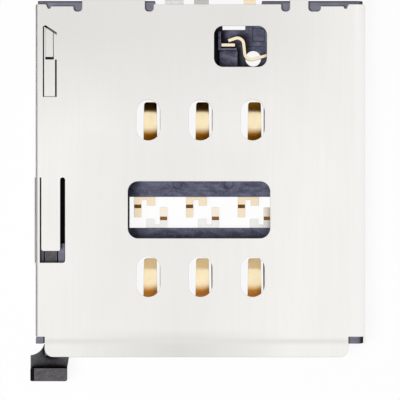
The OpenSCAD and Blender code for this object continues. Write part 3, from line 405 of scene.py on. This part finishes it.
def gold_plate(name, tint, deep, dip, tail, step, axis, start, end, lit_tip=None, stub=None):
    """Gold plated strip: painted shade below a height, tail plating past a place with painted shade on its
    steps, tips lit as painted light, pale stubs
    """
    finish = Finish(name)
    lines = finish.noise((11.0, 0.7, 11.0), 2.0)
    patches = finish.noise((1.6, 1.6, 1.6), 2.0)
    face = finish.mixed(finish.ranged(patches, 0.0, 1.0), shade(tint, 0.94), shade(tint, 1.04))
    # Painted shade: below the given heights the strip takes the darker slope colour
    face = finish.mixed(finish.along("Z", *dip), face, shade(deep, 1.0))
    finish.shader.inputs["Metallic"].default_value = 1.0
    # Painted light: faces leaning back are made non-metallic and take the tip colour
    if lit_tip:
        bent = finish.ranged(finish.lean("Y"), 0.0, 1.0, 0.45, 0.6)
        face = finish.mixed(bent, face, shade(lit_tip, 1.0))
        finish.feed("Metallic", finish.ranged(bent, 1.0, 0.0, 0.0, 1.0))
    solder = shade(tail, 1.0)
    if stub:
        solder = finish.mixed(finish.along("Y", *STUB), solder, shade(stub, 1.0))
    # Painted shade on the steep steps of the solder legs
    solder = finish.mixed(finish.steepness(0.8, 0.95), solder, shade(step, 1.0))
    finish.feed("Base Color", finish.mixed(finish.along(axis, start, end), face, solder))
    finish.feed("Roughness", finish.ranged(lines, 0.32, 0.42))
    finish.bumped(lines, 0.0003 * MM)
    return finish.material


def tin_plate(name, tint):
    """Matt tin plating with a soft crystal mottle"""
    finish = Finish(name)
    crystals = finish.noise((6.0, 6.0, 6.0), 3.0)
    face = finish.mixed(finish.ranged(crystals, 0.0, 1.0), shade(tint, 0.88), shade(tint, 1.1))
    finish.feed("Base Color", face)
    finish.feed("Roughness", finish.ranged(crystals, 0.38, 0.52))
    finish.shader.inputs["Metallic"].default_value = 1.0
    finish.bumped(crystals, 0.001 * MM)
    return finish.material


def reach(face, edge):
    """How far a face reaches from one of its edges"""
    start = edge.verts[0].co
    along = (edge.verts[1].co - start).normalized()
    return max((v.co - start - along * (v.co - start).dot(along)).length for v in face.verts)


def is_rim(edge, width, keep):
    """True for an outer edge of the solid with room on both sides for its radius"""
    if not edge.is_manifold or not edge.is_convex or edge.calc_face_angle() < SHARP:
        return False
    if min(reach(face, edge) for face in edge.link_faces) < ROOM * width:
        return False
    middle = (edge.verts[0].co + edge.verts[1].co) / 2
    return not any(all(low[i] <= middle[i] <= high[i] for i in range(3)) for low, high in keep)


def even_shading(mesh):
    """Shades curves smooth and flats flat: the largest faces near a corner lead its normal"""
    around = {}
    for face in mesh.polygons:
        for corner in face.vertices:
            around.setdefault(corner, []).append(face)
    smooth = math.cos(SMOOTH)
    normals = []
    for face in mesh.polygons:
        for corner in face.vertices:
            near = [other for other in around[corner] if other.normal.dot(face.normal) > smooth]
            normals.append(sum((other.normal * other.area for other in near), Vector()).normalized())
    mesh.normals_split_custom_set(normals)


def folded(bm, margin):
    """Boxes round the faces that rounding has turned over in part"""
    faces = set()
    for corners in bm.calc_loop_triangles():
        a, b, c = (corner.vert.co for corner in corners)
        if (b - a).cross(c - a).dot(corners[0].face.normal) < -2 * FOLD:
            faces.add(corners[0].face)
    boxes = []
    for face in faces:
        axes = list(zip(*(vert.co for vert in face.verts)))
        low = Vector([min(axis) - margin for axis in axes])
        high = Vector([max(axis) + margin for axis in axes])
        boxes.append((low, high))
    return boxes


def rounded(node, width, keep):
    """A merged copy of a CAD node's mesh with its outer edges rounded"""
    bm = bmesh.new()
    bm.from_mesh(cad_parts[node].data)
    bmesh.ops.remove_doubles(bm, verts=bm.verts, dist=MERGE)
    bmesh.ops.dissolve_limit(
        bm, angle_limit=FLAT, use_dissolve_boundaries=False,
        verts=bm.verts, edges=bm.edges, delimit=set())
    rims = [edge for edge in bm.edges if is_rim(edge, width, keep)]
    if not rims:
        raise RuntimeError(f"{node} has no outer edge to round")
    bmesh.ops.bevel(
        bm, geom=rims, offset=width, offset_type="OFFSET", affect="EDGES", segments=2,
        profile=0.5, material=-1, clamp_overlap=False, loop_slide=False)
    bmesh.ops.remove_doubles(bm, verts=bm.verts, dist=CLOSE)
    bm.normal_update()
    return bm


def softened(node, width, keep=()):
    """A piece that stands for a CAD node, rounded except where its edges are too close for that"""
    keep = list(keep)
    bm = rounded(node, width, keep)
    for _ in range(RETRIES):
        folds = folded(bm, FOLD_MARGIN * width)
        if not folds:
            break
        keep += folds
        bm.free()
        bm = rounded(node, width, keep)
    for face in bm.faces:
        face.smooth = True
    mesh = bpy.data.meshes.new(node + "_finished")
    bm.to_mesh(mesh)
    bm.free()
    even_shading(mesh)
    piece = bpy.data.objects.new(node + "_finished", mesh)
    bpy.context.scene.collection.objects.link(piece)
    return piece


def place(piece, node, body, material):
    """Gives a finished piece its material and its body, and hides the CAD node that it stands for"""
    piece.data.materials.append(material)
    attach(piece, body)
    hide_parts(node)


class SOCKET_OT_cover(bpy.types.Operator):
    """Dresses the folded steel cover"""

    bl_idname = "socket.cover"
    bl_label = "Steel cover"

    def execute(self, context):
        looks = settings()
        # The slits beside the two fingers are too narrow for a rolled edge
        left = COVER_LOW.x
        slits = [
            (Vector((left, -3.3 * MM, 0.0)), Vector((left + 1.6 * MM, 1.3 * MM, 2 * MM))),
            (Vector((left, 4.8 * MM, 0.0)), Vector((left + 1.3 * MM, 8.6 * MM, 2 * MM))),
        ]
        piece = softened("shield_cover", looks.edges.sheet_roll, slits)
        # The lip's fold, the tab that stands out at the left and the bend down at the right
        fold = HOUSING_LOW.y + 0.12 * MM
        tab, bend = left + 0.22 * MM, COVER_HIGH.x - 0.6 * MM
        sheet = satin_sheet("satin_sheet", looks.finishes.sheet, fold, tab, bend)
        place(piece, "shield_cover", "base", sheet)
        return {"FINISHED"}


class SOCKET_OT_housing(bpy.types.Operator):
    """Dresses the moulded housing"""

    bl_idname = "socket.housing"
    bl_label = "Housing"

    def execute(self, context):
        looks = settings()
        piece = softened("housing", looks.edges.resin_round)
        # The housing gets painted light on its high tops and painted shadow on the guide's floor in the
        # slit
        resin = moulded_resin(
            "moulded_resin", looks.finishes.resin, mottle=0.35, gloss=0.15, deep=0.5 * MM, full=0.5,
            top=looks.finishes.resin_top, lit=TOPS, slit=GUIDE)
        place(piece, "housing", "base", resin)
        return {"FINISHED"}


class SOCKET_OT_contacts(bpy.types.Operator):
    """Dresses the six spring contacts"""

    bl_idname = "socket.contacts"
    bl_label = "Spring contacts"

    def execute(self, context):
        looks = settings()
        colours = looks.finishes
        back = gold_plate(
            "back_row_plating", colours.gold, colours.back_slope_shade, SLOPE, colours.back_tail, colours.step,
            "Z", *LEG)
        front = gold_plate(
            "front_row_plating", colours.gold, colours.front_slope_shade, SLOPE, colours.front_tail, colours.step,
            "Z", *LEG, lit_tip=colours.front_lit_tip, stub=colours.stub)
        for row, plating in ((BACK_ROW, back), (FRONT_ROW, front)):
            for node in row:
                place(softened(node, looks.edges.strip_round), node, "base", plating)
        return {"FINISHED"}


class SOCKET_OT_switch(bpy.types.Operator):
    """Dresses the two blades of the tray switch"""

    bl_idname = "socket.switch"
    bl_label = "Tray switch"

    def execute(self, context):
        looks = settings()
        width = looks.edges.strip_round
        colours = looks.finishes
        past = HOUSING_HIGH.y - 0.3 * MM
        for node, tail in (("detect_spring", colours.back_tail), ("detect_contact", colours.tin)):
            # Painted shade on the blades' low parts, in the back row's slope colour
            plating = gold_plate(
                node + "_plating", colours.blade, colours.back_slope_shade, BLADE_FOOT, tail, tail,
                "Y", past - 0.03 * MM, past)
            place(softened(node, width), node, "base", plating)
        return {"FINISHED"}


class SOCKET_OT_ground_foot(bpy.types.Operator):
    """Dresses the ground foot at the back"""

    bl_idname = "socket.ground_foot"
    bl_label = "Ground foot"

    def execute(self, context):
        looks = settings()
        piece = softened("rear_ground_foot", looks.edges.strip_round)
        place(piece, "rear_ground_foot", "base", tin_plate("foot_tin", looks.finishes.foot))
        return {"FINISHED"}


class SOCKET_OT_push_rod(bpy.types.Operator):
    """Dresses the push rod with its paddle"""

    bl_idname = "socket.push_rod"
    bl_label = "Push rod"

    def execute(self, context):
        looks = settings()
        piece = softened("eject_slider", looks.edges.rod_round)
        # The push rod's left chamfer facet gets painted shade
        resin = moulded_resin(
            "push_rod_resin", looks.finishes.slider, mottle=0.2, gloss=0.03, deep=1.0 * MM, full=0.66,
            bevel=-0.707)
        place(piece, "eject_slider", "slider", resin)
        return {"FINISHED"}


class SOCKET_OT_lever(bpy.types.Operator):
    """Dresses the eject lever and its pin"""

    bl_idname = "socket.lever"
    bl_label = "Eject lever"

    def execute(self, context):
        looks = settings()
        tin = tin_plate("lever_steel", looks.finishes.tin)
        place(softened("eject_lever", looks.edges.strip_round), "eject_lever", "lever", tin)
        place(softened("lever_pin", looks.edges.strip_round), "lever_pin", "base", tin)
        return {"FINISHED"}


def seen_white(tree):
    """1 for rays that see the background: from the camera, in a reflection or through glass"""
    path = tree.nodes.new("ShaderNodeLightPath")
    most = path.outputs["Is Camera Ray"]
    for name in ("Is Glossy Ray", "Is Transmission Ray"):
        larger = tree.nodes.new("ShaderNodeMath")
        larger.operation = "MAXIMUM"
        tree.links.new(most, larger.inputs[0])
        tree.links.new(path.outputs[name], larger.inputs[1])
        most = larger.outputs["Value"]
    return most


def white_floor():
    """Pale floor that shows white and keeps a soft shadow"""
    material = bpy.data.materials.new("white_floor")
    material.use_nodes = True
    tree = material.node_tree
    shader = tree.nodes["Principled BSDF"]
    shader.inputs["Base Color"].default_value = (0.9, 0.9, 0.9, 1.0)
    shader.inputs["Roughness"].default_value = 0.8
    glow = tree.nodes.new("ShaderNodeEmission")
    mix = tree.nodes.new("ShaderNodeMixShader")
    share = tree.nodes.new("ShaderNodeMath")
    share.operation = "MULTIPLY"
    share.inputs[1].default_value = 0.93
    tree.links.new(seen_white(tree), share.inputs[0])
    tree.links.new(share.outputs["Value"], mix.inputs[0])
    tree.links.new(shader.outputs[0], mix.inputs[1])
    tree.links.new(glow.outputs[0], mix.inputs[2])
    tree.links.new(mix.outputs[0], tree.nodes["Material Output"].inputs["Surface"])
    return material


def studio_room(level):
    """Even room light that shows white in the background"""
    world = bpy.data.worlds.new("studio_room")
    world.use_nodes = True
    tree = world.node_tree
    light = tree.nodes["Background"]
    light.inputs["Color"].default_value = (0.98, 0.99, 1.0, 1.0)
    light.inputs["Strength"].default_value = level
    white = tree.nodes.new("ShaderNodeBackground")
    white.inputs["Color"].default_value = (1.0, 1.0, 1.0, 1.0)
    mix = tree.nodes.new("ShaderNodeMixShader")
    tree.links.new(seen_white(tree), mix.inputs[0])
    tree.links.new(light.outputs[0], mix.inputs[1])
    tree.links.new(white.outputs[0], mix.inputs[2])
    tree.links.new(mix.outputs[0], tree.nodes["World Output"].inputs["Surface"])
    bpy.context.scene.world = world


def soft_lamp(name, spot, side, level):
    """Square lamp that faces the socket and lights its matt faces; the metal shows the white room"""
    data = bpy.data.lights.new(name, "AREA")
    data.shape = "SQUARE"
    data.size = side
    data.energy = level * math.pi * side * side
    lamp = bpy.data.objects.new(name, data)
    lamp.location = spot
    lamp.rotation_euler = (-spot).to_track_quat("-Z", "Y").to_euler()
    lamp.visible_glossy = False
    bpy.context.scene.collection.objects.link(lamp)


def dark_paint():
    """Black of the card that the metal mirrors from the left"""
    material = bpy.data.materials.new("dark_card")
    material.use_nodes = True
    shader = material.node_tree.nodes["Principled BSDF"]
    shader.inputs["Base Color"].default_value = (0.02, 0.02, 0.02, 1.0)
    return material


def stage_sheet(name, half, turn, spot, material):
    """Square sheet of the stage, turned about Y and then moved to a spot"""
    bm = bmesh.new()
    bmesh.ops.create_grid(bm, x_segments=1, y_segments=1, size=half)
    bmesh.ops.rotate(bm, verts=bm.verts, cent=(0.0, 0.0, 0.0), matrix=Matrix.Rotation(turn, 3, "Y"))
    bmesh.ops.translate(bm, verts=bm.verts, vec=spot)
    mesh = bpy.data.meshes.new(name)
    bm.to_mesh(mesh)
    bm.free()
    mesh.materials.append(material)
    sheet = bpy.data.objects.new(name, mesh)
    bpy.context.scene.collection.objects.link(sheet)
    return sheet


class SOCKET_OT_stage(bpy.types.Operator):
    """Sets up the floor, the room, the lamp, the dark card and the camera"""

    bl_idname = "socket.stage"
    bl_label = "Stage"

    def execute(self, context):
        stage = settings().stage
        scene = bpy.context.scene
        scene.view_settings.view_transform = "Standard"

        under = Vector((0.0, 0.0, CAD_LOW.z - FLOOR_GAP))
        floor = stage_sheet("floor", stage.floor_size / 2, 0.0, under, white_floor())

        studio_room(stage.room_level)
        soft_lamp("key_lamp", KEY_SPOT, KEY_SIDE, stage.key_level)

        card = stage_sheet("dark_card", CARD_HALF, math.radians(90), CARD_SPOT, dark_paint())
        card.visible_camera = False

        data = bpy.data.cameras.new("camera")
        data.lens = data.sensor_width * stage.distance / stage.frame_width
        data.clip_start, data.clip_end = 0.005, 10.0
        camera = bpy.data.objects.new("camera", data)
        camera.location = (stage.centre[0], stage.centre[1], COVER_HIGH.z + stage.distance)
        scene.collection.objects.link(camera)
        scene.camera = camera
        return {"FINISHED"}


OPERATORS = (
    SOCKET_OT_cover, SOCKET_OT_housing, SOCKET_OT_contacts, SOCKET_OT_switch,
    SOCKET_OT_ground_foot, SOCKET_OT_push_rod, SOCKET_OT_lever, SOCKET_OT_stage,
)


class SOCKET_PT_panel(bpy.types.Panel):
    """Lists the socket's pieces and settings"""

    bl_idname = "SOCKET_PT_panel"
    bl_label = "Sim Card Socket"
    bl_space_type = "VIEW_3D"
    bl_region_type = "UI"
    bl_category = "Socket"

    def draw(self, context):
        for operator in OPERATORS:
            self.layout.operator(operator.bl_idname)
        looks = settings()
        for group in (looks.finishes, looks.edges, looks.stage):
            box = self.layout.box()
            for name in group.__annotations__:
                box.prop(group, name)


CLASSES = (SocketFinishes, SocketEdges, SocketStage, SocketSettings, *OPERATORS, SOCKET_PT_panel)


def register():
    for cls in CLASSES:
        bpy.utils.register_class(cls)
    bpy.types.Scene.sim_socket = PointerProperty(type=SocketSettings)


def unregister():
    del bpy.types.Scene.sim_socket
    for cls in reversed(CLASSES):
        bpy.utils.unregister_class(cls)


def main():
    register()
    bpy.ops.socket.cover()
    bpy.ops.socket.housing()
    bpy.ops.socket.contacts()
    bpy.ops.socket.switch()
    bpy.ops.socket.ground_foot()
    bpy.ops.socket.push_rod()
    bpy.ops.socket.lever()
    bpy.ops.socket.stage()


if __name__ == "__main__":
    main()
